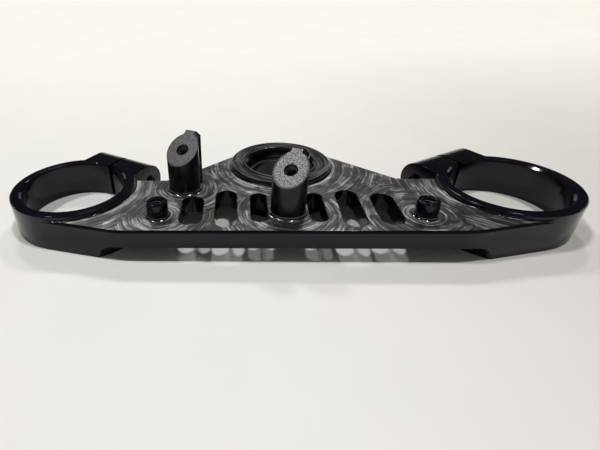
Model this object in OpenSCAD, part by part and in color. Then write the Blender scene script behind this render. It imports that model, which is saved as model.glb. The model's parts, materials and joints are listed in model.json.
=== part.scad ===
// Triple clamp of a motorcycle fork, machined from one billet and lying on its flat feet.
// The origin is the middle of the steering stem bore, on the plane of the feet.
// +X runs to the right along the fork axes, +Y to the rear, toward the stem, and +Z up.
// Distances named fwd are measured from the line of the fork axes forward, toward -Y.

/* [Fork clamps] */
// Distance between the two fork tube axes
fork_spacing = 208; // [200:1:220]
// Distance from the stem axis forward to the line of the fork axes
fork_offset = 26; // [22:0.5:30]
// Diameter of each fork tube bore
fork_d = 50; // [46:0.5:53]
// Wall of each clamp ring
ring_wall = 5.4; // [4:0.1:6.5]
// Height of the clamp rings and of the stem boss
clamp_h = 18; // [17:0.5:22]

/* [Pinch bosses] */
// Angle between the slit and the line of the fork axes, in degrees
slit_angle = 60; // [56:1:66]
// Width of the slit
slit_w = 2.3; // [1.5:0.1:3]
// Distance from the bore wall to the axis of the pinch bolt
bolt_gap = 9.5; // [9:0.1:11]
// Thread diameter of the pinch bolt
bolt_d = 8; // [6:1:8]
// Thread pitch of the pinch bolt
bolt_pitch = 1.25; // [1:0.25:1.25]
// Play between the pinch bolt and the hole in the outer lug
bolt_play = 0.5; // [0.3:0.1:0.8]
// Length of the threaded inner lug from the middle of the slit
lug_in = 19.3; // [18:0.1:22]
// Length of the plain outer lug from the middle of the slit
lug_out = 17.8; // [16:0.1:20]
// Diameter of the sunk seat for the head of the pinch bolt
head_d = 13.5; // [12:0.5:14]
// Depth of the sunk seat for the head of the pinch bolt
head_depth = 4; // [2:0.5:6]

/* [Stem boss] */
// Diameter of the steering stem bore
stem_d = 30; // [26:0.5:31]
// Diameter of the sunk seat round the stem bore
stem_seat_d = 34.4; // [33:0.2:38]
// Depth of the sunk seat round the stem bore
stem_seat_depth = 6.5; // [4:0.5:9]
// Wall round the stem seat
stem_wall = 8.8; // [7:0.2:11]

/* [Plate] */
// Thickness of the plate between the feet
plate_t = 8.5; // [7:0.1:10]
// Height of the collars above the plate
collar_step = 2.2; // [1.5:0.1:3]
// Distance from the fork axes forward to the front edge
front_fwd = 38.4; // [37:0.2:42]
// Angle of the front edge where it sweeps back to the rings, in degrees
front_sweep = 13.4; // [11:0.2:16]
// Radius where the straight and the swept front edges meet
front_r = 40; // [20:1:60]
// Distance from the fork axes back to the short rear edge beside each ring
rear_back = 8.3; // [6:0.1:11]
// Half width at which the rear edge turns toward the stem boss
rear_turn = 57.8; // [54:0.2:62]
// Radius of the turn in the rear edge
rear_r = 4; // [2:0.5:8]
// Land of each ring foot outside the ring, on the underside
foot_land = 10.3; // [8:0.1:12]
// Land of the stem foot outside the stem boss, on the underside
stem_land = 3; // [1:0.5:6]
// Radius of the underside fillet round the stem foot
stem_root_r = 4; // [2:0.5:6]

/* [Slots] */
// Half distance between the axes of the two outer slots
outer_slot_x = 43.3; // [42:0.1:44]
// Width of the outer slots
outer_slot_w = 9.8; // [8:0.1:10.5]
// Front end of the outer slots
outer_slot_fwd = 32.9; // [31:0.1:34]
// Rear end of the outer slots
outer_slot_rear = 6.4; // [5:0.1:9]
// Half distance between the axes of the two middle slots
mid_slot_x = 27.8; // [27:0.1:28.5]
// Width of the middle slots
mid_slot_w = 9.6; // [8:0.1:10.5]
// Front end of the middle slots
mid_slot_fwd = 34.4; // [32:0.1:35]
// Rear end of the middle slots
mid_slot_rear = 3.2; // [2:0.1:6]
// Width of the inner slots
inner_slot_w = 7.4; // [6:0.1:8]
// Front end of the inner slots
inner_slot_fwd = 30.5; // [29:0.1:33]
// Rear end of the inner slots
inner_slot_rear = 5.8; // [4:0.1:8]
// Land between a slot and the foot of a post
slot_land = 1.1; // [0.8:0.1:1.5]

/* [Switch posts] */
// Diameter of the two posts
post_d = 15.2; // [15:0.1:16.4]
// Height of the middle of each post's face above the plate
post_h = 20.1; // [17:0.1:26]
// Tilt of the post faces, about the line that joins the posts, in degrees
face_tilt = 34.5; // [28:0.5:36]
// Place of the left post to the right of the middle
left_post_x = -48.3; // [-50:0.1:-47]
// Place of the left post in front of the fork axes
left_post_fwd = -0.2; // [-2:0.1:2]
// Place of the right post to the right of the middle
right_post_x = -0.4; // [-1:0.1:1]
// Place of the right post in front of the fork axes
right_post_fwd = 22.2; // [20:0.1:24]
// Width of the key on the high side of each post
key_w = 7.6; // [7:0.1:8.4]
// Shift of the key to the right of the post's high side
key_shift = 0.9; // [0.5:0.1:1.2]
// Reach of the key outside the post
key_reach = 1.8; // [1.2:0.1:2.2]
// Width of the bevel along the right side of the key
key_bevel = 2.8; // [1.5:0.1:3.2]
// Slope of that bevel, in degrees
bevel_slope = 30; // [20:1:45]
// Radius of the hollow corners between post and key
key_root_r = 1.5; // [0.8:0.1:2]
// Depth of the thread in each post
post_thread = 9.5; // [7:0.5:10]

/* [Bracket bosses] */
// Half distance between the two bracket bosses
boss_x = 57.8; // [56:0.1:60]
// Place of the bracket bosses in front of the fork axes
boss_fwd = 25.3; // [24:0.1:27]
// Diameter of the bracket bosses
boss_d = 9.5; // [9:0.1:11]
// Height of the bracket bosses above the plate
boss_h = 7.3; // [5:0.1:10]
// Depth of the thread in each bracket boss
boss_thread = 11; // [8:0.5:11.5]

/* [Screw holes and edges] */
// Thread diameter of the screws in the posts and bracket bosses
screw_d = 6; // [5:1:6]
// Thread pitch of the screws in the posts and bracket bosses
screw_pitch = 1; // [0.8:0.1:1]
// Chamfer at the top of the fork bores and of the stem seat
bore_chamfer = 1; // [0.5:0.1:1.5]
// Chamfer round the rings and bosses and at the bottom of the fork bores
rim_chamfer = 0.5; // [0.2:0.1:0.8]
// Chamfer at the bottom of the stem bore
stem_chamfer = 0.3; // [0.2:0.1:0.4]
// Chamfer along the top of the front and rear edges
plate_chamfer = 1; // [0.4:0.1:1.2]
// Chamfer round the top of the slots
slot_chamfer = 0.4; // [0.2:0.1:0.6]
// Chamfer at the mouth of each screw hole
mouth_chamfer = 0.5; // [0.3:0.1:0.7]
// Height taken off the sharp tip of each key, which leaves a small flat
key_flat = 0.4; // [0.3:0.1:1]
// Fillet between the collars and the plate
collar_fillet = 1; // [0.5:0.1:1.4]
// Fillet at the foot of the posts
post_fillet = 1.6; // [1:0.1:2]
// Fillet at the foot of the bracket bosses
boss_fillet = 1.2; // [0.6:0.1:1.6]

/* [Hidden] */
$fn = 96;
// Overlap of joined solids and run-out of cuts
over = 1;
fork_r = fork_d / 2;
ring_r = fork_r + ring_wall;
fork_x = fork_spacing / 2;
bolt_reach = fork_r + bolt_gap;
bolt_z = clamp_h / 2;
stem_boss_r = stem_seat_d / 2 + stem_wall;
plate_top = clamp_h - collar_step;
relief_h = plate_top - plate_t;
post_r = post_d / 2;
left_post = [left_post_x, -fork_offset - left_post_fwd];
right_post = [right_post_x, -fork_offset - right_post_fwd];
post_run = right_post - left_post;
// The faces climb at a right angle to the line that joins the posts
uphill = atan2(post_run.y, post_run.x) + 90;
drill_point = 118;

// Front edge: it leaves each ring on a tangent and meets the straight part at a corner
front_y = -fork_offset - front_fwd;
sweep_start = [fork_x + ring_r * sin(front_sweep), -fork_offset - ring_r * cos(front_sweep)];
front_corner = [sweep_start.x - (sweep_start.y - front_y) / tan(front_sweep), front_y];
front_tangent = front_r * tan(front_sweep / 2);
front_centre = [front_corner.x - front_tangent, front_y + front_r];

// Rear edge: short and straight beside each ring, then on a tangent to the stem boss
rear_corner = [rear_turn, -fork_offset + rear_back];
stem_angle = atan2(rear_corner.y, rear_corner.x) + acos(stem_boss_r / norm(rear_corner));
stem_tangent = stem_boss_r * direction(stem_angle);
rear_run = stem_tangent - rear_corner;
rear_angle = atan2(rear_run.y, rear_run.x);
rear_tangent = rear_r / tan(rear_angle / 2);
rear_centre = rear_corner + rear_r / sin(rear_angle / 2) * direction(rear_angle / 2);

// The left outer slot stops short of the foot of the left post
inner_slot_x = abs(right_post_x) + post_r + slot_land + inner_slot_w / 2;
post_gap = post_r + post_fillet + outer_slot_w / 2 + slot_land / 2;
post_side = left_post_x + outer_slot_x;
left_slot_rear = left_post_fwd + sqrt(pow(post_gap, 2) - pow(post_side, 2)) - outer_slot_w / 2;

function direction(angle) = [cos(angle), sin(angle)];
function mirrored(p) = [-p.x, p.y];

module both_sides() {
    children();
    mirror([1, 0, 0]) children();
}

module at_fork() {
    translate([fork_x, -fork_offset, 0]) children();
}

// X runs along the pinch bolt to the inner lug, and Y along the slit
module at_pinch() {
    translate([-fork_x, -fork_offset, 0]) rotate(slit_angle - 90) children();
}

// X runs up the tilted face and Z out of it
module at_face(place) {
    translate([place.x, place.y, plate_top + post_h]) rotate(uphill) rotate([0, -face_tilt, 0]) children();
}

// Disc with a chamfer round both rims
module drum(r, h, chamfer) {
    rotate_extrude()
        polygon([[0, 0], [r - chamfer, 0], [r, chamfer], [r, h - chamfer], [r - chamfer, h], [0, h]]);
}

// Cut for a fork bore, with a chamfer at both ends
module fork_bore() {
    rotate_extrude()
        polygon([
            [0, -over], [fork_r + rim_chamfer + over, -over], [fork_r, rim_chamfer],
            [fork_r, clamp_h - bore_chamfer], [fork_r + bore_chamfer + over, clamp_h + over],
            [0, clamp_h + over]
        ]);
}

// Cut for a drilled and tapped blind hole that runs down from z = 0
module tapped_hole(d, pitch, depth) {
    r = (d - pitch) / 2;
    tip = r / tan(drill_point / 2);
    rotate_extrude()
        polygon([
            [0, -depth - tip], [r, -depth], [r, -mouth_chamfer],
            [r + mouth_chamfer + over, over], [0, over]
        ]);
}

// Hollow corner ring round a cylinder that stands on z = 0
module foot_fillet(r, fillet) {
    rotate_extrude()
        difference() {
            translate([r - over, 0]) square([over + fillet, fillet]);
            translate([r + fillet, fillet]) circle(r = fillet);
        }
}

// Outline of the plate to the right of the middle, without the ring and the stem boss
module half_outline() {
    difference() {
        polygon([
            [-over, front_y], front_corner, sweep_start, [fork_x, -fork_offset],
            [fork_x, rear_corner.y], rear_corner, stem_tangent, [-over, 0]
        ]);
        difference() {
            polygon([
                front_corner - [front_tangent, 0], front_corner - [0, over],
                front_corner + [over, 0], front_corner + front_tangent * direction(front_sweep)
            ]);
            translate(front_centre) circle(r = front_r, $fn = 360);
        }
    }
    difference() {
        polygon([
            rear_corner, rear_corner + [rear_tangent, 0], rear_centre,
            rear_corner + rear_tangent * direction(rear_angle)
        ]);
        translate(rear_centre) circle(r = rear_r);
    }
}

module outline() {
    both_sides() half_outline();
}

// Cut along a straight top edge from a to b, with the plate on the left
module edge_chamfer(a, b) {
    translate([a.x, a.y, plate_top])
        rotate(atan2(b.y - a.y, b.x - a.x))
            rotate([90, 0, 90])
                linear_extrude(norm(b - a))
                    polygon([[plate_chamfer + over, over], [-over, -plate_chamfer - over], [-over, over]]);
}

module plate_chamfers() {
    sweep_end = front_corner + front_tangent * direction(front_sweep);
    front_end = front_corner - [front_tangent, 0];
    edge_chamfer(mirrored(front_end), front_end);
    both_sides() {
        edge_chamfer(sweep_end, sweep_start + over * direction(front_sweep));
        edge_chamfer(rear_corner + rear_tangent * direction(rear_angle), stem_tangent + over * direction(rear_angle));
        translate([front_centre.x, front_centre.y, plate_top])
            rotate(-90)
                rotate_extrude(angle = front_sweep, $fn = 360)
                    polygon([
                        [front_r - plate_chamfer - over, over], [front_r + over, -plate_chamfer - over],
                        [front_r + over, over]
                    ]);
    }
}

// Foot that stays on the underside, with a hollow fillet up to the relieved face
module foot(r, root_r) {
    translate([0, 0, -2 * over]) cylinder(r = r, h = relief_h + 2 * over);
    translate([0, 0, relief_h - root_r])
        rotate_extrude()
            difference() {
                translate([r - over, 0]) square([root_r + over, root_r]);
                translate([r + root_r, 0]) circle(r = root_r);
            }
}

// Relief under the plate, between the two ring feet and round the stem foot
module relief() {
    depth = front_fwd + fork_offset + stem_boss_r + over;
    difference() {
        translate([-fork_x, front_y - over, -over]) cube([fork_spacing, depth, relief_h + over]);
        both_sides() at_fork() foot(ring_r + foot_land, relief_h);
        foot(stem_boss_r + stem_land, stem_root_r);
    }
}

module plate() {
    difference() {
        linear_extrude(plate_top) outline();
        relief();
        plate_chamfers();
    }
}

// Collars round the rings and the stem boss, with the fillets at their feet
module collars() {
    both_sides() at_fork() drum(ring_r, clamp_h, rim_chamfer);
    drum(stem_boss_r, clamp_h, rim_chamfer);
    intersection() {
        linear_extrude(clamp_h) outline();
        translate([0, 0, plate_top]) {
            both_sides() at_fork() foot_fillet(ring_r, collar_fillet);
            foot_fillet(stem_boss_r, collar_fillet);
        }
    }
}

// Boss of the left ring, flat toward the bore and round about the pinch bolt
module pinch_boss() {
    at_pinch()
        translate([-lug_out, 0, 0])
            rotate([90, 0, 90])
                linear_extrude(lug_out + lug_in) {
                    square([bolt_reach, clamp_h]);
                    translate([bolt_reach, bolt_z]) circle(r = clamp_h / 2);
                }
}

module pinch_cut() {
    at_pinch() {
        translate([-slit_w / 2, 0, -over])
            cube([slit_w, bolt_reach + clamp_h / 2 + over, clamp_h + 2 * over]);
        translate([0, bolt_reach, bolt_z]) rotate([0, 90, 0]) {
            cylinder(d = bolt_d - bolt_pitch, h = lug_in + over);
            translate([0, 0, lug_in - mouth_chamfer])
                cylinder(
                    d1 = bolt_d - bolt_pitch, d2 = bolt_d - bolt_pitch + 2 * (mouth_chamfer + over),
                    h = mouth_chamfer + over
                );
            translate([0, 0, -lug_out - over]) cylinder(d = bolt_d + bolt_play, h = lug_out + over);
            translate([0, 0, -lug_out - over]) cylinder(d = head_d, h = head_depth + over);
        }
    }
}

// Lengthwise slot through the plate, with a chamfer round its top
module slot(x, w, front, rear) {
    r = w / 2;
    near = -fork_offset - front + r;
    run = front - rear - w;
    translate([x, near, 0]) {
        for (y = [0, run])
            translate([0, y, relief_h - over]) {
                cylinder(r = r, h = plate_t + 2 * over);
                translate([0, 0, plate_t + over - slot_chamfer])
                    cylinder(r1 = r, r2 = r + slot_chamfer + over, h = slot_chamfer + over);
            }
        rotate([-90, 0, 0])
            linear_extrude(run)
                polygon([
                    [-r, over - relief_h], [r, over - relief_h], [r, slot_chamfer - plate_top],
                    [r + slot_chamfer + over, -plate_top - over],
                    [-r - slot_chamfer - over, -plate_top - over], [-r, slot_chamfer - plate_top]
                ]);
    }
}

module slots() {
    slot(-outer_slot_x, outer_slot_w, outer_slot_fwd, max(outer_slot_rear, left_slot_rear));
    slot(outer_slot_x, outer_slot_w, outer_slot_fwd, outer_slot_rear);
    both_sides() {
        slot(mid_slot_x, mid_slot_w, mid_slot_fwd, mid_slot_rear);
        slot(inner_slot_x, inner_slot_w, inner_slot_fwd, inner_slot_rear);
    }
}

// Section of the key, with a hollow corner on each side that runs into the post
module key_section() {
    left = key_w / 2 - key_shift;
    right = key_w / 2 + key_shift;
    translate([0, -right]) square([post_r + key_reach, left + right]);
    key_corner(left);
    mirror([0, 1]) key_corner(right);
}

module key_corner(side) {
    centre = [sqrt(pow(post_r + key_root_r, 2) - pow(side + key_root_r, 2)), side + key_root_r];
    difference() {
        polygon([[0, 0], [centre.x, side], centre]);
        translate(centre) circle(r = key_root_r);
    }
}

// Stands on the plate at a post's place, with X up the slope of its face
module at_post(place) {
    translate([place.x, place.y, plate_top]) rotate(uphill) children();
}

// Everything above the tilted face
module above_face(place) {
    size = 4 * post_d;
    at_face(place) translate([-size / 2, -size / 2, 0]) cube(size);
}

// Key with a bevel on its right side, which backs the thread of the tilted hole
module key(place) {
    right = key_w / 2 + key_shift;
    difference() {
        at_post(place) translate([0, 0, -over]) linear_extrude(2 * post_h) key_section();
        at_face(place)
            translate([0, key_bevel - right, 0])
                rotate([bevel_slope, 0, 0])
                    translate([0, -2 * post_d, 0]) cube([2 * post_d, 2 * post_d, post_d]);
    }
}

module post(place) {
    tip_z = post_h + (post_r + key_reach) * tan(face_tilt);
    difference() {
        union() {
            at_post(place) translate([0, 0, -over]) rotate(90) cylinder(r = post_r, h = 2 * post_h);
            key(place);
        }
        above_face(place);
        at_post(place) translate([0, -post_d, tip_z - key_flat]) cube(2 * post_d);
    }
    at_post(place) rotate(90) foot_fillet(post_r, post_fillet);
}

module post_hole(place) {
    at_face(place) tapped_hole(screw_d, screw_pitch, post_thread);
}

module bracket_boss() {
    translate([boss_x, -fork_offset - boss_fwd, relief_h]) {
        drum(boss_d / 2, plate_t + boss_h, rim_chamfer);
        translate([0, 0, plate_t]) foot_fillet(boss_d / 2, boss_fillet);
    }
}

module bracket_hole() {
    translate([boss_x, -fork_offset - boss_fwd, plate_top + boss_h])
        tapped_hole(screw_d, screw_pitch, boss_thread);
}

module stem_bore() {
    seat_z = clamp_h - stem_seat_depth;
    bore_r = stem_d / 2;
    seat_r = stem_seat_d / 2;
    rotate_extrude()
        polygon([
            [0, -over], [bore_r + stem_chamfer + over, -over], [bore_r, stem_chamfer], [bore_r, seat_z],
            [seat_r, seat_z], [seat_r, clamp_h - bore_chamfer],
            [seat_r + bore_chamfer + over, clamp_h + over], [0, clamp_h + over]
        ]);
}

module triple_clamp() {
    color("#2c2c2f")
        difference() {
            union() {
                plate();
                collars();
                both_sides() {
                    pinch_boss();
                    bracket_boss();
                }
                post(left_post);
                post(right_post);
            }
            both_sides() {
                at_fork() fork_bore();
                pinch_cut();
                bracket_hole();
            }
            stem_bore();
            slots();
            post_hole(left_post);
            post_hole(right_post);
        }
}

triple_clamp();
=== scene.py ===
"""Looks of the triple clamp.

Black anodised billet with the paths of the cutter, screw threads, a paper floor, lamps and the camera.
"""
import json
import math

import bmesh
import bpy
from mathutils import Matrix, Vector


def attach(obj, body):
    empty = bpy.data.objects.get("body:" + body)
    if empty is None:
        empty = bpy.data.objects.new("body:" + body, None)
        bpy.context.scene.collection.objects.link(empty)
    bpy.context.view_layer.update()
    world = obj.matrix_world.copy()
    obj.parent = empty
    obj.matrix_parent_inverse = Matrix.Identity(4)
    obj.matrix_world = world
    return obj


bl_info = {
    "name": "Triple clamp finish",
    "version": (1, 0, 0),
    "blender": (4, 5, 0),
    "location": "3D View > Sidebar > Triple clamp",
    "description": "Anodised finish, screw threads and a plain studio for a machined triple clamp",
    "category": "Object",
}

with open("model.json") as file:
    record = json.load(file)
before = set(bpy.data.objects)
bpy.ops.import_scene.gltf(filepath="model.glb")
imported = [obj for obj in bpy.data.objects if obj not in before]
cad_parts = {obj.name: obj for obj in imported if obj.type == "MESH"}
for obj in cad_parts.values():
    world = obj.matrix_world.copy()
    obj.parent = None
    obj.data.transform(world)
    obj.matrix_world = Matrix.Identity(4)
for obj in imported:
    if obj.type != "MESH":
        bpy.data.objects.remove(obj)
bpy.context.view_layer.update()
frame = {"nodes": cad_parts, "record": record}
CLAMP = "triple_clamp"
BODY = "root"
MM = 0.001
SIDES = ("left", "right")
MOUNTS = {mount["name"]: mount for mount in frame["record"]["mounts"]}

# Sizes of the CAD part that the finish follows
PLATE_TOP = 15.8 * MM
RING_R = 30.4 * MM
STEM_BOSS_R = 26 * MM
POST_R = 7.6 * MM
BOSS_R = 4.75 * MM
THREAD_START = 0.5 * MM

# Camera of the photograph: place and near clip in metres, turns in radians, sensor in millimetres,
# picture and its optical axis in pixels
CAMERA_PLACE = Vector((-22.6, -209.8, 114.0)) * MM
CAMERA_PITCH = 0.598
CAMERA_ROLL = -0.0403
CAMERA_YAW = -0.0736
CAMERA_SENSOR = 36
CAMERA_CLIP = 0.01
PHOTO_WIDTH = 600
PHOTO_HEIGHT = 450
PHOTO_AXIS_X = 211.7
PHOTO_AXIS_Y = 234.0


def mount_place(name):
    """Middle of a mount."""
    return Vector(MOUNTS[name]["pos_m"])


def mount_axis(name):
    """Direction of a mount's axis."""
    return Vector(MOUNTS[name]["axis"]).normalized()


def post_foot(side):
    """Where a post's axis stands on the plate, found from its tilted hole."""
    name = f"switch_post_{side}"
    half = MOUNTS[name]["dims"]["length_mm"] * MM / 2
    face = mount_place(name) + mount_axis(name) * (half + THREAD_START)
    return Vector((face.x, face.y, PLATE_TOP))


def bracket_places():
    """Tops of the two bracket bosses."""
    middle = mount_place("bracket_screws")
    half = MOUNTS["bracket_screws"]["dims"]["spacing_x_mm"] * MM / 2
    return [middle + Vector((side * half, 0, 0)) for side in (-1, 1)]


def round_forms():
    """Centre and radius of each round form that the cutter went round, with the large ones first."""
    forms = [(Vector((0, 0, 0)), STEM_BOSS_R)]
    forms += [(mount_place(f"fork_clamp_{side}"), RING_R) for side in SIDES]
    forms += [(post_foot(side), POST_R) for side in SIDES]
    forms += [(place, BOSS_R) for place in bracket_places()]
    return forms


# Shader helpers

def fill(tree, node, key, value):
    """Gives a node's input a value or another node's output."""
    if isinstance(value, bpy.types.NodeSocket):
        tree.links.new(value, node.inputs[key])
    else:
        node.inputs[key].default_value = value


def add(tree, kind, inputs=None, **settings):
    """A shader node with its settings and its inputs."""
    node = tree.nodes.new(kind)
    for name, value in settings.items():
        setattr(node, name, value)
    for key, value in (inputs or {}).items():
        fill(tree, node, key, value)
    return node


def calc(tree, operation, *values, clamp=False):
    """The result of a Math node."""
    inputs = dict(enumerate(values))
    return add(tree, "ShaderNodeMath", inputs, operation=operation, use_clamp=clamp).outputs[0]


def times(tree, first, *others):
    """The product of its values."""
    product = first
    for value in others:
        product = calc(tree, "MULTIPLY", product, value)
    return product


def opposite(tree, mask):
    """1 where the mask is 0, and 0 where it is 1."""
    return calc(tree, "SUBTRACT", 1.0, mask)


def gap_to(tree, value, place):
    """How far a value is from a place, to either side."""
    return calc(tree, "ABSOLUTE", calc(tree, "SUBTRACT", value, place))


def between(tree, value, limits):
    """1 between the limits and 0 outside them."""
    low, high = limits
    return times(tree, calc(tree, "GREATER_THAN", value, low), calc(tree, "LESS_THAN", value, high))


def step(tree, value, limits):
    """0 up to the first limit and 1 from the second, smooth between them."""
    inputs = {"Value": value, "From Min": limits[0], "From Max": limits[1]}
    return add(tree, "ShaderNodeMapRange", inputs, interpolation_type="SMOOTHSTEP").outputs["Result"]


def ranged(tree, value, ends):
    """The first end where the value is 0, the second where it is 1, in a straight line."""
    low, high = ends
    return calc(tree, "MULTIPLY_ADD", value, high - low, low)


def vector(tree, operation, *values):
    """The vector that a Vector Math node gives."""
    return add(tree, "ShaderNodeVectorMath", dict(enumerate(values)), operation=operation).outputs["Vector"]


def length(tree, value):
    """Length of a vector."""
    return add(tree, "ShaderNodeVectorMath", {0: value}, operation="LENGTH").outputs["Value"]


def along(tree, value, direction):
    """How far a vector goes in a direction."""
    inputs = {0: value, 1: direction}
    return add(tree, "ShaderNodeVectorMath", inputs, operation="DOT_PRODUCT").outputs["Value"]


def flatten(tree, place):
    """A place with its height taken off."""
    return vector(tree, "MULTIPLY", place, (1, 1, 0))


def out_from(tree, flat, centre):
    """The way to a flattened place in millimetres from a centre in metres."""
    return vector(tree, "SUBTRACT", flat, (centre.x / MM, centre.y / MM, 0))


def split_xyz(tree, value):
    """The three parts of a vector."""
    return add(tree, "ShaderNodeSeparateXYZ", {0: value}).outputs


def object_place(tree):
    """Place on the object in metres."""
    return tree.nodes.new("ShaderNodeTexCoord").outputs["Object"]


def place_in_mm(tree):
    """Place on the object in millimetres."""
    inputs = {0: object_place(tree), "Scale": 1 / MM}
    return add(tree, "ShaderNodeVectorMath", inputs, operation="SCALE").outputs["Vector"]


def blend(tree, factor, low, high):
    """The result of a Mix node for numbers."""
    return add(tree, "ShaderNodeMix", {0: factor, 2: low, 3: high}, data_type="FLOAT").outputs[0]


def tint(tree, factor, low, high, mode="MIX"):
    """The result of a Mix node for colours."""
    inputs = {0: factor, 6: low, 7: high}
    return add(tree, "ShaderNodeMix", inputs, data_type="RGBA", blend_type=mode).outputs[2]


def noise(tree, place, scale, detail=2.0, roughness=0.5):
    """Smooth noise from 0 to 1."""
    inputs = {"Vector": place, "Scale": scale, "Detail": detail, "Roughness": roughness}
    return add(tree, "ShaderNodeTexNoise", inputs).outputs["Fac"]


def new_group(name, inputs, outputs):
    """A shader node group with named sockets: the group, what it is given and what it gives."""
    group = bpy.data.node_groups.new(name, "ShaderNodeTree")
    for label, kind, default in inputs:
        socket = group.interface.new_socket(name=label, in_out="INPUT", socket_type=kind)
        if default is not None:
            socket.default_value = default
    for label in outputs:
        group.interface.new_socket(name=label, in_out="OUTPUT", socket_type="NodeSocketFloat")
    return group, group.nodes.new("NodeGroupInput").outputs, group.nodes.new("NodeGroupOutput").inputs


def use_group(tree, name, build, inputs):
    """Places a node group, which is built when it is first used, and returns its outputs."""
    group = bpy.data.node_groups.get(name) or build(name)
    return add(tree, "ShaderNodeGroup", inputs, node_tree=group).outputs


def new_material(name):
    """A material with its node tree and its shader."""
    material = bpy.data.materials.new(name)
    material.use_nodes = True
    return material, material.node_tree, material.node_tree.nodes["Principled BSDF"]


def colour(value, share=1):
    """A setting's colour, or a share of it, for a shader."""
    return (share * value[0], share * value[1], share * value[2], 1)


# Paths of the cutter: widths in millimetres, noise scales and stretches per millimetre, tones from 0 to 1,
# and the count of large forms, which come first in round_forms
LARGE_FORMS = 3
SWAY_SCALE = 0.09
SWAY_WIDTH = 2.0
FADE_SCALE = 0.13
FADE_LIMITS = (0.4, 0.6)
# First pass: a cutter pass at the foot of the fillets, brightened as a painted highlight
FIRST_PASS_GAP = 1.9
FIRST_PASS_EDGE = (0.2, 1.1)
FIRST_PASS_SCALE = 0.05
FIRST_PASS_LIMITS = (0.35, 0.6)
FIRST_PASS_SHINE = 1.5
PASS_TONES = (0.35, 1.0)
PASS_FALL = -0.35
FORM_SEED = 17.0
GROOVE_PLACE = 0.2
GROOVE_EDGE = (0.03, 0.14)
GROOVE_TONES = (1.0, 0.3)
CURL = 2.2
ARC_STRETCH = (0.3, 0.16)
ARC_ROUGHNESS = 0.55
SWEEP_STRETCH = (0.05, 0.7)
SWEEP_ROUGHNESS = 0.52
# Painted highlight fans: their sharpness and the turn of the side fan
FAN_POWER = 3.0
SIDE_FAN_POWER = 6.0
SIDE_FAN_TURN = math.radians(205)
RIDGE_PITCH = 0.8
RIDGE_HEIGHT = 0.25
PASS_SLOPE = -0.8


def nearest_form(tree, flat):
    """Gap to the nearest round form, the form's number and the way out from its axis."""
    gap, form, way = None, 0.0, None
    for number, (centre, radius) in enumerate(round_forms()):
        out = out_from(tree, flat, centre)
        own_gap = calc(tree, "SUBTRACT", length(tree, out), radius / MM)
        if gap is None:
            gap, way = own_gap, out
            continue
        closer = calc(tree, "LESS_THAN", own_gap, gap)
        form = blend(tree, closer, form, float(number))
        way = add(tree, "ShaderNodeMix", {0: closer, 4: way, 5: out}, data_type="VECTOR").outputs[1]
        gap = calc(tree, "MINIMUM", own_gap, gap)
    return gap, form, way


def first_pass_and_painted_highlight(tree, flat, offset, form):
    """Bright pass close round the stem boss and the rings, broken here and there, partly a painted highlight.
    """
    band = opposite(tree, step(tree, gap_to(tree, offset, FIRST_PASS_GAP), FIRST_PASS_EDGE))
    broken = step(tree, noise(tree, flat, FIRST_PASS_SCALE, 1.0), FIRST_PASS_LIMITS)
    large = calc(tree, "LESS_THAN", form, LARGE_FORMS - 0.5)
    return times(tree, times(tree, band, broken), times(tree, large, FIRST_PASS_SHINE))


def pass_tone(tree, within, pass_seed, fade):
    """Tone of each pass, which falls across it, with a dark groove near its start."""
    own = add(tree, "ShaderNodeTexWhiteNoise", {"W": pass_seed}, noise_dimensions="1D").outputs["Value"]
    tone = calc(tree, "MULTIPLY_ADD", within, PASS_FALL, ranged(tree, own, PASS_TONES))
    groove = opposite(tree, step(tree, gap_to(tree, within, GROOVE_PLACE), GROOVE_EDGE))
    return times(tree, tone, ranged(tree, times(tree, groove, fade), GROOVE_TONES))


def drawn_noise(tree, run, layer, offset, stretch, roughness):
    """Noise drawn out along the cutter's path, different in each layer."""
    spot = {0: times(tree, run, stretch[0]), 1: layer, 2: times(tree, offset, stretch[1])}
    return noise(tree, add(tree, "ShaderNodeCombineXYZ", spot).outputs[0], 1.0, 3.0, roughness)


def painted_light_fan(tree, angle):
    """Painted highlight: fans of light on cut metal, front and rear and at both ends of one slanted line."""
    front = calc(tree, "POWER", calc(tree, "ABSOLUTE", calc(tree, "SINE", angle)), FAN_POWER)
    turned = calc(tree, "COSINE", calc(tree, "SUBTRACT", angle, SIDE_FAN_TURN))
    side = calc(tree, "POWER", calc(tree, "ABSOLUTE", turned), SIDE_FAN_POWER)
    return calc(tree, "MAXIMUM", front, side)


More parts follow.
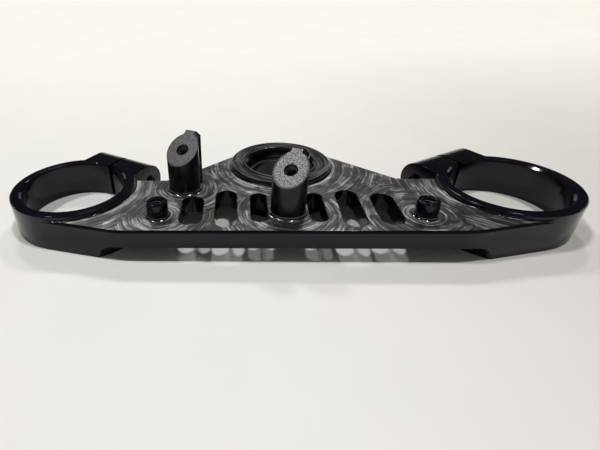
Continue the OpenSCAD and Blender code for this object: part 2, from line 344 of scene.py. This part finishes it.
def cutter_path_group(name):
    """Marks of a milling cutter that went round every boss in passes of one width, and fans of painted
    highlight.
    """
    group, given, gives = new_group(
        name,
        [("Place", "NodeSocketVector", None), ("Pass Width", "NodeSocketFloat", 3.0),
         ("Line Width", "NodeSocketFloat", 0.1), ("Waver", "NodeSocketFloat", 1.0)],
        ["Line", "Tone", "Arc", "Sweep", "Fan", "Height"],
    )
    flat = flatten(group, given["Place"])
    gap, form, way = nearest_form(group, flat)
    sway = times(group, calc(group, "SUBTRACT", noise(group, flat, SWAY_SCALE, 1.0), 0.5), given["Waver"])
    offset = calc(group, "MULTIPLY_ADD", sway, SWAY_WIDTH, gap)
    passes = calc(group, "DIVIDE", offset, given["Pass Width"])
    within = calc(group, "FRACT", passes)
    pass_seed = calc(group, "MULTIPLY_ADD", form, FORM_SEED, calc(group, "FLOOR", passes))
    fade = step(group, noise(group, flat, FADE_SCALE, 2.0), FADE_LIMITS)
    line = opposite(group, step(group, calc(group, "PINGPONG", passes, 0.5), (0.0, given["Line Width"])))
    line = calc(group, "MAXIMUM", times(group, line, fade), first_pass_and_painted_highlight(group, flat, offset, form))

    way_x, way_y, _ = split_xyz(group, way)
    angle = calc(group, "ARCTAN2", way_y, way_x)
    curl = times(group, calc(group, "POWER", within, 2.0), CURL)
    run = calc(group, "MULTIPLY_ADD", angle, length(group, way), curl)
    arc = drawn_noise(group, run, pass_seed, offset, ARC_STRETCH, ARC_ROUGHNESS)
    sweep = drawn_noise(group, run, form, offset, SWEEP_STRETCH, SWEEP_ROUGHNESS)

    ridge = calc(group, "SINE", times(group, offset, 2 * math.pi / RIDGE_PITCH))
    height = calc(group, "MULTIPLY_ADD", within, PASS_SLOPE, calc(group, "ADD", arc, sweep))
    height = calc(group, "MULTIPLY_ADD", ridge, RIDGE_HEIGHT, height)
    tone = pass_tone(group, within, pass_seed, fade)
    for socket, value in zip(gives, (line, tone, arc, sweep, painted_light_fan(group, angle), height)):
        group.links.new(value, socket)
    return group


# Grain: noise scale of the cloud per millimetre
CLOUD_SCALE = 0.06


def fine_grain_group(name):
    """Fine grain of an anodised surface, with a slow cloud under it."""
    group, given, gives = new_group(
        name,
        [("Place", "NodeSocketVector", None), ("Grain Size", "NodeSocketFloat", 0.3)],
        ["Grain", "Cloud"],
    )
    scale = calc(group, "DIVIDE", 1.0, given["Grain Size"])
    group.links.new(noise(group, given["Place"], scale, 2.0, 0.6), gives["Grain"])
    group.links.new(noise(group, given["Place"], CLOUD_SCALE, 3.0, 0.5), gives["Cloud"])
    return group


def edge_glint_and_wear_group(name):
    """Mask that is high where the surface turns within a short distance."""
    group, given, gives = new_group(
        name,
        [("Bevel Normal", "NodeSocketVector", None), ("Low", "NodeSocketFloat", 0.01),
         ("High", "NodeSocketFloat", 0.2)],
        ["Edge"],
    )
    true_normal = group.nodes.new("ShaderNodeNewGeometry").outputs["Normal"]
    turn = opposite(group, along(group, given["Bevel Normal"], true_normal))
    group.links.new(step(group, turn, (given["Low"], given["High"])), gives["Edge"])
    return group


# Posts and bosses, in millimetres: the soft edge of a face's rim, how far the rim goes past the post,
# how far uphill it goes before the key, and how far a fillet reaches from the foot
RIM_SOFT = 0.15
RIM_PAST = 0.3
RIM_END = -5.8
FILLET_REACH = 1.5


def post_form_group(name):
    """Masks of the rims of the slanted faces, of the posts, and of the feet of the posts and bosses."""
    group, given, gives = new_group(
        name,
        [("Place", "NodeSocketVector", None), ("Rim Width", "NodeSocketFloat", 0.7)],
        ["Rim", "Post", "Foot"],
    )
    flat = flatten(group, given["Place"])
    downhill = mount_axis("switch_post_left").xy.normalized()
    start = calc(group, "SUBTRACT", POST_R / MM, given["Rim Width"])
    rim_limits = (calc(group, "SUBTRACT", start, RIM_SOFT), start)
    rims, near = [], []
    for side in SIDES:
        out = out_from(group, flat, post_foot(side))
        far = length(group, out)
        inside = calc(group, "LESS_THAN", far, POST_R / MM + RIM_PAST)
        slope = along(group, out, (downhill.x, downhill.y, 0))
        before_key = calc(group, "GREATER_THAN", slope, RIM_END)
        rims.append(times(group, step(group, far, rim_limits), inside, before_key))
        near.append(calc(group, "LESS_THAN", far, POST_R / MM + FILLET_REACH))
    post = calc(group, "MAXIMUM", *near)
    foot = post
    for place in bracket_places():
        far = length(group, out_from(group, flat, place))
        foot = calc(group, "MAXIMUM", foot, calc(group, "LESS_THAN", far, BOSS_R / MM + FILLET_REACH))
    for socket, value in zip(gives, (calc(group, "MAXIMUM", *rims), post, foot)):
        group.links.new(value, socket)
    return group


# Regions of the clamp: heights and gaps in millimetres, limits as shares of the normal
PLATE_GAP = 0.4
PLATE_LIMIT = 0.95
POST_FACE_LIMIT = 0.995
STEM_TOP_LIMIT = 0.9
STEM_TOP_GAP = 0.2
FILLET_HEIGHTS = (0.05, 2.0)
FILLET_LIMITS = (0.15, 0.97)

# Plate finish, with a painted sheen toward the left and a painted shade toward the right: ends of each fade
# across the clamp in millimetres, limits of a noise, and the strength at either end of a range
LEFT_FADE = (40.0, -90.0)
RIGHT_FADE = (50.0, 85.0)
RIGHT_GLOW = (1.0, 0.6)
LEFT_GLOW = (0.84, 0.94)
PATCH_SCALE = 0.09
PATCH_LIMITS = (0.42, 0.56)
PATCH_GLOW = (0.15, 1.0)
# Strength of the painted highlight fans on the plate
FAN_GLOW = (0.6, 1.1)
ARC_LIMITS = (0.35, 0.7)
ARC_STRENGTH = (0.4, 0.15)
SWEEP_LIMITS = (0.38, 0.68)
TONE_STRENGTH = (0.25, 1.05)
TONE_POWER = 1.5
LINE_GLOW = (0.22, 1.02)
LINE_FADE = (1.0, 0.5)
LINE_WIDTH = 0.15
WAVER = 1.2

# Walls, post faces and the turned top of the stem boss
GRAIN_SIZE = 0.5
WALL_CLOUD = 1.5
EDGE_LIMITS = (0.02, 0.3)
# Paler edges: partly wear, partly a painted highlight
EDGE_TINT = 0.45
SPECK_LIMITS = (0.35, 0.65)
SPECK_SHADE = 0.16
RIM_WIDTH = 0.6
RIM_TINT = 0.75
# Painted shade on the left post's face
FACE_SHADE = (-0.27, 0.93)
TURNED_LIMITS = (0.35, 0.7)

# Shine and relief of the billet
WALL_ROUGHNESS = (0.08, 0.16)
POST_ROUGHNESS = 0.15
PLATE_ROUGHNESS = (0.5, 0.25)
FACE_ROUGHNESS = 0.5
WALL_RELIEF = 0.1
FACE_RELIEF = 0.6
RELIEF_DEPTH = 0.05 * MM
BEVEL_SAMPLES = 6
REFLECTION = 0.35
REFLECTION_TINT = (0.97, 0.91, 1.0, 1)


def billet_regions(tree, place, foot):
    """Masks of the plate, the post faces, the top of the stem boss and the fillets at the feet."""
    normal = tree.nodes.new("ShaderNodeNewGeometry").outputs["Normal"]
    up = split_xyz(tree, normal)[2]
    above = calc(tree, "SUBTRACT", split_xyz(tree, place)[2], PLATE_TOP / MM)
    level = calc(tree, "LESS_THAN", calc(tree, "ABSOLUTE", above), PLATE_GAP)
    plate = times(tree, level, calc(tree, "GREATER_THAN", up, PLATE_LIMIT))
    tilt = along(tree, normal, mount_axis("switch_post_left"))
    post_face = calc(tree, "GREATER_THAN", tilt, POST_FACE_LIMIT)
    on_stem = calc(tree, "LESS_THAN", length(tree, flatten(tree, place)), STEM_BOSS_R / MM + STEM_TOP_GAP)
    stem_top = times(tree, calc(tree, "GREATER_THAN", up, STEM_TOP_LIMIT), on_stem)
    fillet = times(tree, between(tree, above, FILLET_HEIGHTS), between(tree, up, FILLET_LIMITS), foot)
    return plate, post_face, stem_top, fillet


def milled_colour(tree, finish, place, marks, painted_light_left_mask):
    """Plate colour: pale strokes on a dark ground, brighter in patches, with thin lines at pass edges, and
    painted sheen and shade.
    """
    patch = step(tree, noise(tree, place, PATCH_SCALE, 3.0, 0.6), PATCH_LIMITS)
    # Painted shade: the plate darkens toward the right
    painted_shade_right_mask = step(tree, split_xyz(tree, place)[0], RIGHT_FADE)
    # Painted sheen: brighter toward the left and in the painted highlight fans, times random patches of tone
    painted_sheen_and_patches = times(tree, ranged(tree, painted_light_left_mask, LEFT_GLOW), ranged(tree, patch, PATCH_GLOW),
                 ranged(tree, marks["Fan"], FAN_GLOW), ranged(tree, painted_shade_right_mask, RIGHT_GLOW))
    # Strokes, stronger toward the left as part of the painted sheen
    strokes = times(tree, step(tree, marks["Arc"], ARC_LIMITS), ranged(tree, painted_light_left_mask, ARC_STRENGTH))
    swept = calc(tree, "ADD", strokes, step(tree, marks["Sweep"], SWEEP_LIMITS))
    tone = calc(tree, "POWER", times(tree, swept, ranged(tree, marks["Tone"], TONE_STRENGTH)), TONE_POWER)
    tone = calc(tree, "MULTIPLY", tone, painted_sheen_and_patches, clamp=True)
    cut = tint(tree, tone, colour(finish.plate_dark), colour(finish.plate_light))
    # Pass lines, brighter as a painted highlight where the painted sheen is strong, and dimmer toward the
    # left
    lines_and_painted_highlight = calc(tree, "MULTIPLY", marks["Line"], ranged(tree, painted_sheen_and_patches, LINE_GLOW), clamp=True)
    lines_and_painted_highlight = times(tree, lines_and_painted_highlight, ranged(tree, painted_light_left_mask, LINE_FADE))
    return tint(tree, lines_and_painted_highlight, cut, colour(finish.line_colour))


def wall_colour(tree, finish, grain, bevel):
    """Smooth black walls, paler along the edges: partly wear, partly a painted highlight."""
    wall = tint(tree, grain["Cloud"], colour(finish.wall_colour), colour(finish.wall_colour, WALL_CLOUD))
    edge = use_group(tree, "edge_glint_and_wear", edge_glint_and_wear_group,
                     {"Bevel Normal": bevel, "Low": EDGE_LIMITS[0], "High": EDGE_LIMITS[1]})
    return tint(tree, times(tree, edge["Edge"], EDGE_TINT), wall, colour(finish.worn_and_glint_colour))


def post_face_colour(tree, finish, grain, rim, painted_light_left_mask):
    """Grained face of a post, with a dark rim, and a painted shade that makes the left post's face darker."""
    speck = step(tree, grain["Grain"], SPECK_LIMITS)
    face = tint(tree, speck, colour(finish.face_colour, SPECK_SHADE), colour(finish.face_colour))
    # Dark rim, and a painted shade over the left post's face
    dark = calc(tree, "MAXIMUM", times(tree, rim, RIM_TINT), ranged(tree, painted_light_left_mask, FACE_SHADE))
    return tint(tree, dark, face, colour(finish.wall_colour))


def turned_rings_and_reflection_colour(tree, finish, marks):
    """Turned top of the stem boss: pale turned rings, partly a painted reflection."""
    rings = step(tree, marks["Sweep"], TURNED_LIMITS)
    return tint(tree, rings, colour(finish.plate_dark), colour(finish.turned_rings_and_reflection_colour))


def anodised_material(finish):
    """Black anodised billet: cutter paths on the plate, grained post faces, smooth walls, with painted sheen,
    highlights and shade.
    """
    material, tree, shader = new_material("anodised_billet")
    place = place_in_mm(tree)
    # Mask toward the left: painted sheen on the plate and painted shade on the left post's face
    painted_light_left_mask = step(tree, split_xyz(tree, place)[0], LEFT_FADE)
    bevel = add(tree, "ShaderNodeBevel", {"Radius": finish.edge_radius}, samples=BEVEL_SAMPLES).outputs[0]
    marks = use_group(tree, "cutter_paths", cutter_path_group,
                      {"Place": place, "Pass Width": finish.pass_width / MM, "Line Width": LINE_WIDTH,
                       "Waver": WAVER})
    grain = use_group(tree, "fine_grain", fine_grain_group, {"Place": place, "Grain Size": GRAIN_SIZE})
    forms = use_group(tree, "post_forms", post_form_group, {"Place": place, "Rim Width": RIM_WIDTH})
    plate, post_face, stem_top, fillet = billet_regions(tree, place, forms["Foot"])

    base = tint(tree, stem_top, wall_colour(tree, finish, grain, bevel), turned_rings_and_reflection_colour(tree, finish, marks))
    base = tint(tree, plate, base, milled_colour(tree, finish, place, marks, painted_light_left_mask))
    base = tint(tree, post_face, base, post_face_colour(tree, finish, grain, forms["Rim"], painted_light_left_mask))
    metal = times(tree, calc(tree, "MAXIMUM", plate, post_face), finish.metal)
    rough = ranged(tree, grain["Cloud"], WALL_ROUGHNESS)
    rough = calc(tree, "MULTIPLY_ADD", forms["Post"], POST_ROUGHNESS, rough)
    rough = blend(tree, plate, rough, ranged(tree, marks["Sweep"], PLATE_ROUGHNESS))
    rough = blend(tree, post_face, rough, FACE_ROUGHNESS)
    height = blend(tree, plate, times(tree, grain["Grain"], WALL_RELIEF), marks["Height"])
    height = blend(tree, post_face, height, times(tree, grain["Grain"], FACE_RELIEF))
    bump = {"Height": height, "Normal": bevel, "Strength": finish.relief, "Distance": RELIEF_DEPTH}
    fill(tree, shader, "Base Color", base)
    fill(tree, shader, "Metallic", metal)
    fill(tree, shader, "Roughness", rough)
    fill(tree, shader, "Coat Weight", fillet)
    fill(tree, shader, "Normal", add(tree, "ShaderNodeBump", bump).outputs[0])
    fill(tree, shader, "Specular IOR Level", REFLECTION)
    fill(tree, shader, "Specular Tint", REFLECTION_TINT)
    return material


# Threads: half the root and half the crest of the ridge as shares of its pitch, how far it is sunk
# into the hole's wall, and its steps in one turn
RIDGE_ROOT = 0.42
RIDGE_CREST = 0.08
RIDGE_SUNK = 0.05 * MM
TURN_STEPS = 28

# Finish of the threads
THREAD_GRAIN = 0.2
THREAD_ROUGHNESS = (0.25, 0.45)
THREAD_RELIEF = 0.2
THREAD_RELIEF_DEPTH = 0.02 * MM


def thread_material(finish):
    """Cut thread: the same anodising, paler in its grain."""
    material, tree, shader = new_material("cut_thread")
    grain = use_group(tree, "fine_grain", fine_grain_group,
                      {"Place": place_in_mm(tree), "Grain Size": THREAD_GRAIN})
    bump = {"Height": grain["Grain"], "Strength": THREAD_RELIEF, "Distance": THREAD_RELIEF_DEPTH}
    fill(tree, shader, "Base Color",
         tint(tree, grain["Grain"], colour(finish.wall_colour), colour(finish.worn_and_glint_colour)))
    fill(tree, shader, "Roughness", ranged(tree, grain["Cloud"], THREAD_ROUGHNESS))
    fill(tree, shader, "Normal", add(tree, "ShaderNodeBump", bump).outputs[0])
    return material


def finished_mesh(bm, name):
    """Turns the faces outward and makes a mesh of them."""
    bmesh.ops.recalc_face_normals(bm, faces=bm.faces)
    mesh = bpy.data.meshes.new(name)
    bm.to_mesh(mesh)
    bm.free()
    return mesh


def helix_mesh(name, radius, pitch, run, ridge):
    """Closed helical ridge on a hole's wall, about the local Z axis and centred on the origin."""
    climb = run - pitch
    turns = climb / pitch
    steps = round(turns * TURN_STEPS)
    wall, crest = radius + RIDGE_SUNK, radius - ridge
    root_half, crest_half = RIDGE_ROOT * pitch, RIDGE_CREST * pitch
    section = [(wall, -root_half), (crest, -crest_half), (crest, crest_half), (wall, root_half)]
    bm = bmesh.new()
    corners = [bm.verts.new((reach, 0, height - climb / 2)) for reach, height in section]
    end = bm.faces.new(corners)
    bmesh.ops.spin(bm, geom=[end] + corners + list(end.edges), cent=(0, 0, 0), axis=(0, 0, 1),
                   dvec=(0, 0, climb / steps), angle=turns * 2 * math.pi, steps=steps, use_duplicate=False)
    return finished_mesh(bm, name)


def new_object(name, data):
    """An object in the scene."""
    item = bpy.data.objects.new(name, data)
    bpy.context.scene.collection.objects.link(item)
    return item


def stand_in_hole(mesh, middle, axis):
    """Puts a thread in its hole, on the clamp's body and with its finish."""
    finish = bpy.context.scene.clamp_finish
    mesh.materials.append(bpy.data.materials.get("cut_thread") or thread_material(finish))
    piece = new_object(mesh.name, mesh)
    turn = Vector((0, 0, 1)).rotation_difference(axis).to_matrix().to_4x4()
    piece.matrix_world = Matrix.Translation(middle) @ turn
    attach(piece, BODY)
    return piece


def thread_mount(name, label, pitch, ridge):
    """Cuts a thread along the whole of a threaded mount."""
    dims = MOUNTS[name]["dims"]
    mesh = helix_mesh(label, dims["r_mm"] * MM, pitch, dims["length_mm"] * MM, ridge)
    return stand_in_hole(mesh, mount_place(name), mount_axis(name))


class ClampFinish(bpy.types.PropertyGroup):
    """Colours and marks of the anodised billet."""
    wall_colour: bpy.props.FloatVectorProperty(
        name="Wall colour", description="Colour of the smooth anodised walls", subtype="COLOR",
        default=(0.0018, 0.0014, 0.0038), min=0, max=1)
    # Paler edge colour: partly wear, partly a painted highlight; also the pale grain of the threads
    worn_and_glint_colour: bpy.props.FloatVectorProperty(
        name="Edge colour", description="Paler colour along the edges", subtype="COLOR",
        default=(0.12, 0.12, 0.125), min=0, max=1)
    plate_dark: bpy.props.FloatVectorProperty(
        name="Plate dark", description="Darkest colour of the cutter's passes", subtype="COLOR",
        default=(0.012, 0.012, 0.012), min=0, max=1)
    plate_light: bpy.props.FloatVectorProperty(
        name="Plate light", description="Palest colour of the cutter's passes", subtype="COLOR",
        default=(0.70, 0.68, 0.66), min=0, max=1)
    # Pass lines, partly painted highlight: the first pass round the stem boss and rings, and lines brightened
    # by the painted sheen
    line_colour: bpy.props.FloatVectorProperty(
        name="Pass edge", description="Colour of the thin line at the edge of a pass", subtype="COLOR",
        default=(0.50, 0.485, 0.47), min=0, max=1)
    # Pale turned rings of the stem boss top, partly a painted reflection
    turned_rings_and_reflection_colour: bpy.props.FloatVectorProperty(
        name="Stem boss top", description="Palest colour of the turned top of the stem boss", subtype="COLOR",
        default=(0.12, 0.12, 0.125), min=0, max=1)
    face_colour: bpy.props.FloatVectorProperty(
        name="Post face", description="Colour of the grained faces of the posts", subtype="COLOR",
        default=(0.31, 0.292, 0.306), min=0, max=1)
    pass_width: bpy.props.FloatProperty(
        name="Pass width", description="Distance between two passes of the cutter", unit="LENGTH",
        default=3.6 * MM, min=1 * MM, max=8 * MM)
    edge_radius: bpy.props.FloatProperty(
        name="Edge radius", description="Radius that sharp edges show in the light", unit="LENGTH",
        default=0.18 * MM, min=0, max=1 * MM)
    metal: bpy.props.FloatProperty(
        name="Bare metal", description="Share of bare metal on the cut faces", subtype="FACTOR",
        default=0.35, min=0, max=1)
    relief: bpy.props.FloatProperty(
        name="Relief", description="Strength of the cutter marks and the grain", subtype="FACTOR",
        default=0.5, min=0, max=1)


class ClampThreads(bpy.types.PropertyGroup):
    """Sizes of the cut threads."""
    screw_pitch: bpy.props.FloatProperty(
        name="Screw pitch", description="Pitch in the posts and bracket bosses", unit="LENGTH",
        default=1 * MM, min=0.5 * MM, max=2 * MM)
    pinch_pitch: bpy.props.FloatProperty(
        name="Pinch bolt pitch", description="Pitch in the inner pinch lugs", unit="LENGTH",
        default=1.25 * MM, min=0.5 * MM, max=2 * MM)
    ridge: bpy.props.FloatProperty(
        name="Ridge", description="How far the thread stands in from the hole's wall", unit="LENGTH",
        default=0.28 * MM, min=0.1 * MM, max=0.5 * MM)
    bracket_depth: bpy.props.FloatProperty(
        name="Bracket thread", description="Length of the thread in a bracket boss", unit="LENGTH",
        default=10 * MM, min=2 * MM, max=11 * MM)


class ClampStudio(bpy.types.PropertyGroup):
    """Floor, lamps and camera."""
    floor_colour: bpy.props.FloatVectorProperty(
        name="Floor colour", description="Colour of the paper that the clamp lies on", subtype="COLOR",
        default=(0.815, 0.795, 0.765), min=0, max=1)
    # Painted shade: darker paper colour on the right
    floor_right_painted_shade: bpy.props.FloatVectorProperty(
        name="Floor right", description="Colour of the paper on the right", subtype="COLOR",
        default=(0.60, 0.572, 0.545), min=0, max=1)
    # Painted light: paler paper colour far away
    floor_far_painted_light: bpy.props.FloatVectorProperty(
        name="Floor far", description="Colour of the paper far behind the clamp", subtype="COLOR",
        default=(0.945, 0.918, 0.845), min=0, max=1)
    room_light: bpy.props.FloatProperty(
        name="Room light", description="Strength of the light from the front of the room",
        default=0.12, min=0, max=2)
    ceiling_light: bpy.props.FloatProperty(
        name="Ceiling lamps", description="Strength of each lamp above", default=1.18, min=0, max=10)
    rear_light: bpy.props.FloatProperty(
        name="Rear lamps", description="Strength of each lamp behind the clamp", default=0.55, min=0, max=10)
    lamp_angle: bpy.props.FloatProperty(
        name="Lamp size", description="Angle that each lamp covers", unit="ROTATION",
        default=math.radians(6), min=0, max=math.pi)
    lens: bpy.props.FloatProperty(
        name="Focal length", description="Focal length of the camera in millimetres",
        default=25.36, min=10, max=200)


class CLAMP_OT_finish_billet(bpy.types.Operator):
    """Give the clamp its anodised finish with cutter marks"""
    bl_idname = "clamp.finish_billet"
    bl_label = "Finish the billet"

    def execute(self, context):
        billet = frame["nodes"][CLAMP]
        billet.data.materials.clear()
        billet.data.materials.append(anodised_material(context.scene.clamp_finish))
        return {"FINISHED"}


class CLAMP_OT_cut_post_threads(bpy.types.Operator):
    """Cut the threads in the tilted holes of the two posts"""
    bl_idname = "clamp.cut_post_threads"
    bl_label = "Cut the post threads"

    def execute(self, context):
        sizes = context.scene.clamp_threads
        for side in SIDES:
            thread_mount(f"switch_post_{side}", f"post_thread_{side}", sizes.screw_pitch, sizes.ridge)
        return {"FINISHED"}


class CLAMP_OT_cut_bracket_threads(bpy.types.Operator):
    """Cut the threads in the two bracket bosses"""
    bl_idname = "clamp.cut_bracket_threads"
    bl_label = "Cut the bracket threads"

    def execute(self, context):
        sizes = context.scene.clamp_threads
        hole_r = MOUNTS["bracket_screws"]["dims"]["hole_r_mm"] * MM
        depth = sizes.bracket_depth
        down = Vector((0, 0, depth / 2 + THREAD_START))
        for side, top in zip(SIDES, bracket_places()):
            mesh = helix_mesh(f"bracket_thread_{side}", hole_r, sizes.screw_pitch, depth, sizes.ridge)
            stand_in_hole(mesh, top - down, Vector((0, 0, 1)))
        return {"FINISHED"}


class CLAMP_OT_cut_pinch_threads(bpy.types.Operator):
    """Cut the threads of the pinch bolts in the inner lugs"""
    bl_idname = "clamp.cut_pinch_threads"
    bl_label = "Cut the pinch threads"

    def execute(self, context):
        sizes = context.scene.clamp_threads
        for side in SIDES:
            thread_mount(f"pinch_thread_{side}", f"pinch_bolt_thread_{side}", sizes.pinch_pitch, sizes.ridge)
        return {"FINISHED"}


# Paper floor, in metres: its section from the middle out, and the ends of its changes of colour, a painted
# shade on the right and painted light far away
FLOOR_SECTION = ((0, 0), (3.5, 0), (3.8, 0.04), (3.95, 0.16), (4, 0.35), (4, 1))
FLOOR_STEPS = 48
FLOOR_MERGE = 1e-5
FLOOR_BEYOND = (0.5, 1.2)
FLOOR_RIGHT = (-0.03, 0.22)
FLOOR_REAR = (-0.1, 0.42)
MOTTLE_SCALE = 25.0
MOTTLE_TONES = (0.97, 1.03)
FLOOR_ROUGHNESS = 0.6
FLOOR_REFLECTION = 0.2

# Room and lamps: colours of the room, and the way to each lamp
ROOM_REAR = (0.25, 0.245, 0.25, 1)
ROOM_FRONT = (1.0, 0.98, 0.96, 1)
ROOM_TURN = (0.25, -0.25)
CEILING_LAMPS = {"ceiling_lamp_left": (-0.51, 0.03, 1), "ceiling_lamp_right": (0.24, -0.04, 1)}
REAR_LAMPS = {"rear_lamp_left": (-0.36, 0.95, 1), "rear_lamp_right": (0.2, 0.95, 1)}


def floor_material(studio):
    """Matt paper with a faint mottle, with a painted shade on the right and painted light far away."""
    material, tree, shader = new_material("studio_paper")
    place = object_place(tree)
    across, rearward, _ = split_xyz(tree, place)
    beyond = step(tree, length(tree, place), FLOOR_BEYOND)
    # Painted shade on the right, near the clamp
    right = times(tree, step(tree, across, FLOOR_RIGHT), opposite(tree, beyond))
    # Painted light far away
    far = calc(tree, "MAXIMUM", step(tree, rearward, FLOOR_REAR), beyond)
    sheet = tint(tree, right, colour(studio.floor_colour), colour(studio.floor_right_painted_shade))
    sheet = tint(tree, far, sheet, colour(studio.floor_far_painted_light))
    mottle = ranged(tree, noise(tree, place, MOTTLE_SCALE, 3.0), MOTTLE_TONES)
    shade = add(tree, "ShaderNodeCombineColor", {0: mottle, 1: mottle, 2: mottle}).outputs[0]
    fill(tree, shader, "Base Color", tint(tree, 1.0, sheet, shade, mode="MULTIPLY"))
    fill(tree, shader, "Roughness", FLOOR_ROUGHNESS)
    fill(tree, shader, "Specular IOR Level", FLOOR_REFLECTION)
    return material


def paper_floor():
    """Round sheet of paper that lies flat under the part and rises far away from it."""
    bm = bmesh.new()
    corners = [bm.verts.new((reach, 0, height)) for reach, height in FLOOR_SECTION]
    edges = [bm.edges.new(pair) for pair in zip(corners, corners[1:])]
    bmesh.ops.spin(bm, geom=corners + edges, cent=(0, 0, 0), axis=(0, 0, 1), angle=2 * math.pi,
                   steps=FLOOR_STEPS, use_merge=True, use_duplicate=False)
    bmesh.ops.remove_doubles(bm, verts=bm.verts, dist=FLOOR_MERGE)
    for face in bm.faces:
        face.smooth = True
    return new_object("studio_floor", finished_mesh(bm, "studio_floor"))


def light_room(world, level):
    """Dim light of the room, which is brighter in front of the clamp than behind it."""
    world.use_nodes = True
    tree = world.node_tree
    toward = split_xyz(tree, tree.nodes.new("ShaderNodeTexCoord").outputs["Generated"])
    background = tree.nodes["Background"]
    fill(tree, background, "Color", tint(tree, step(tree, toward[1], ROOM_TURN), ROOM_REAR, ROOM_FRONT))
    fill(tree, background, "Strength", level)


def far_lamp(name, toward, strength, angle):
    """Lamp far away in the direction toward, as seen from the part."""
    lamp = bpy.data.lights.new(name, "SUN")
    lamp.energy = strength
    lamp.angle = angle
    holder = new_object(name, lamp)
    holder.location = Vector(toward).normalized()
    holder.rotation_euler = Vector(toward).to_track_quat("Z", "Y").to_euler()
    return holder


class CLAMP_OT_build_studio(bpy.types.Operator):
    """Lay the paper floor and hang the lamps"""
    bl_idname = "clamp.build_studio"
    bl_label = "Build the studio"

    def execute(self, context):
        studio = context.scene.clamp_studio
        floor = paper_floor()
        floor.data.materials.append(floor_material(studio))
        world = bpy.data.worlds.new("studio_room")
        context.scene.world = world
        light_room(world, studio.room_light)
        for name, toward in CEILING_LAMPS.items():
            far_lamp(name, toward, studio.ceiling_light, studio.lamp_angle)
        for name, toward in REAR_LAMPS.items():
            far_lamp(name, toward, studio.rear_light, studio.lamp_angle)
        return {"FINISHED"}


def camera_turn():
    """Turn of the photograph's camera, as the matrix of its own axes."""
    level = Matrix(((1, 0, 0), (0, 0, -1), (0, 1, 0)))
    yaw = Matrix.Rotation(CAMERA_YAW, 3, "Z")
    pitch = Matrix.Rotation(CAMERA_PITCH, 3, "X")
    roll = Matrix.Rotation(CAMERA_ROLL, 3, "Z")
    right, down, ahead = roll @ pitch @ level @ yaw
    return Matrix((right, -down, -ahead)).transposed().to_4x4()


class CLAMP_OT_set_camera(bpy.types.Operator):
    """Put the camera where the photograph was taken"""
    bl_idname = "clamp.set_camera"
    bl_label = "Set the camera"

    def execute(self, context):
        data = bpy.data.cameras.new("photo_camera")
        data.sensor_width = CAMERA_SENSOR
        data.lens = context.scene.clamp_studio.lens
        data.shift_x = (PHOTO_WIDTH / 2 - PHOTO_AXIS_X) / PHOTO_WIDTH
        data.shift_y = (PHOTO_AXIS_Y - PHOTO_HEIGHT / 2) / PHOTO_WIDTH
        data.clip_start = CAMERA_CLIP
        camera = new_object("photo_camera", data)
        camera.matrix_world = Matrix.Translation(CAMERA_PLACE) @ camera_turn()
        context.scene.camera = camera
        context.scene.view_settings.view_transform = "Standard"
        return {"FINISHED"}


STEPS = (
    CLAMP_OT_set_camera, CLAMP_OT_finish_billet, CLAMP_OT_cut_post_threads, CLAMP_OT_cut_bracket_threads,
    CLAMP_OT_cut_pinch_threads, CLAMP_OT_build_studio,
)


class CLAMP_PT_sidebar(bpy.types.Panel):
    """Lists the steps and settings of the clamp"""
    bl_idname = "CLAMP_PT_sidebar"
    bl_label = "Triple clamp"
    bl_space_type = "VIEW_3D"
    bl_region_type = "UI"
    bl_category = "Triple clamp"

    def draw(self, context):
        for operator in STEPS:
            self.layout.operator(operator.bl_idname)
        for group in (context.scene.clamp_finish, context.scene.clamp_threads, context.scene.clamp_studio):
            box = self.layout.box()
            for name in group.__annotations__:
                box.prop(group, name)


CLASSES = (ClampFinish, ClampThreads, ClampStudio, *STEPS, CLAMP_PT_sidebar)


def register():
    """Makes the settings, steps and panel known."""
    for item in CLASSES:
        bpy.utils.register_class(item)
    bpy.types.Scene.clamp_finish = bpy.props.PointerProperty(type=ClampFinish)
    bpy.types.Scene.clamp_threads = bpy.props.PointerProperty(type=ClampThreads)
    bpy.types.Scene.clamp_studio = bpy.props.PointerProperty(type=ClampStudio)


def unregister():
    """Takes the settings, steps and panel away."""
    del bpy.types.Scene.clamp_studio
    del bpy.types.Scene.clamp_threads
    del bpy.types.Scene.clamp_finish
    for item in reversed(CLASSES):
        bpy.utils.unregister_class(item)


def main():
    """Runs every step in order."""
    register()
    bpy.ops.clamp.set_camera()
    bpy.ops.clamp.finish_billet()
    bpy.ops.clamp.cut_post_threads()
    bpy.ops.clamp.cut_bracket_threads()
    bpy.ops.clamp.cut_pinch_threads()
    bpy.ops.clamp.build_studio()


if __name__ == "__main__":
    main()
